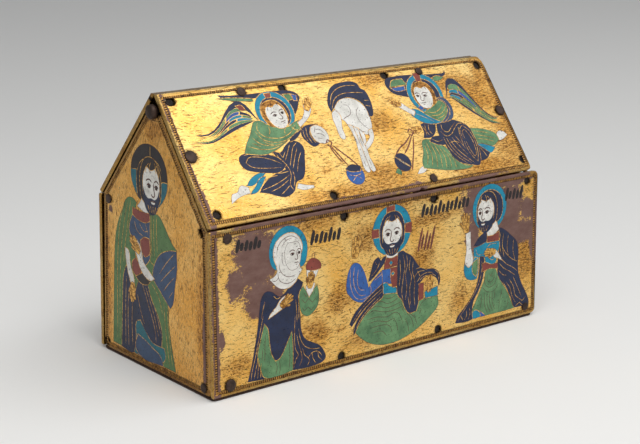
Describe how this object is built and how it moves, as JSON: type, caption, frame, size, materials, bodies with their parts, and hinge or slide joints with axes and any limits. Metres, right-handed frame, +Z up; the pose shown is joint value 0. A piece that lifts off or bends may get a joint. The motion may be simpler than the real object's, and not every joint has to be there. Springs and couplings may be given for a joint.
{
  "type": "reliquary casket",
  "caption": "House-shaped reliquary casket of nailed gilt copper plaques with champleve enamel figures, hollow inside, on a flat base plate.",
  "frame": {"origin": "on the underside of the base plate, below the middle of the casket", "axes": "+X along the ridge towards the right gable, +Y towards the back wall, +Z up"},
  "size_m": [0.191, 0.0863, 0.12],
  "materials": {
    "gilded_copper": "worn fire gilding over copper, brushed and scratched",
    "base_copper": "tarnished dark copper sheet",
    "nail_copper": "dark brown patinated nail heads",
    "enamel_dark_blue": "polished opaque enamel",
    "enamel_mid_blue": "polished opaque enamel",
    "enamel_turquoise": "polished opaque enamel",
    "enamel_green": "polished opaque enamel",
    "enamel_white": "polished opaque enamel",
    "enamel_red": "polished opaque enamel",
    "enamel_black": "polished opaque enamel",
    "niello_line": "dark engraved line"
  },
  "bodies": {
    "root": {"base_plate": "base_copper", "front_wall": "gilded_copper", "back_wall": "gilded_copper", "left_gable": "gilded_copper", "right_gable": "gilded_copper", "front_roof": "gilded_copper", "back_roof": "gilded_copper", "back_roof_nail_eave": "nail_copper", "back_roof_nail_left_end": "nail_copper", "back_roof_nail_ridge": "nail_copper", "back_roof_nail_right_end": "nail_copper", "back_wall_nail_bottom": "nail_copper", "back_wall_nail_bottom_end": "nail_copper", "back_wall_nail_top_end": "nail_copper", "front_roof_nail_eave": "nail_copper", "front_roof_nail_left_end": "nail_copper", "front_roof_nail_ridge_left": "nail_copper", "front_roof_nail_ridge_right": "nail_copper", "front_roof_nail_right_end": "nail_copper", "front_wall_nail_bottom_left": "nail_copper", "front_wall_nail_bottom_right": "nail_copper", "front_wall_nail_top_left": "nail_copper", "left_gable_nail_apex": "nail_copper", "left_gable_nail_foot": "nail_copper", "left_gable_nail_shoulder": "nail_copper", "right_gable_nail_apex": "nail_copper", "right_gable_nail_foot": "nail_copper"}
  },
  "joints": []
}
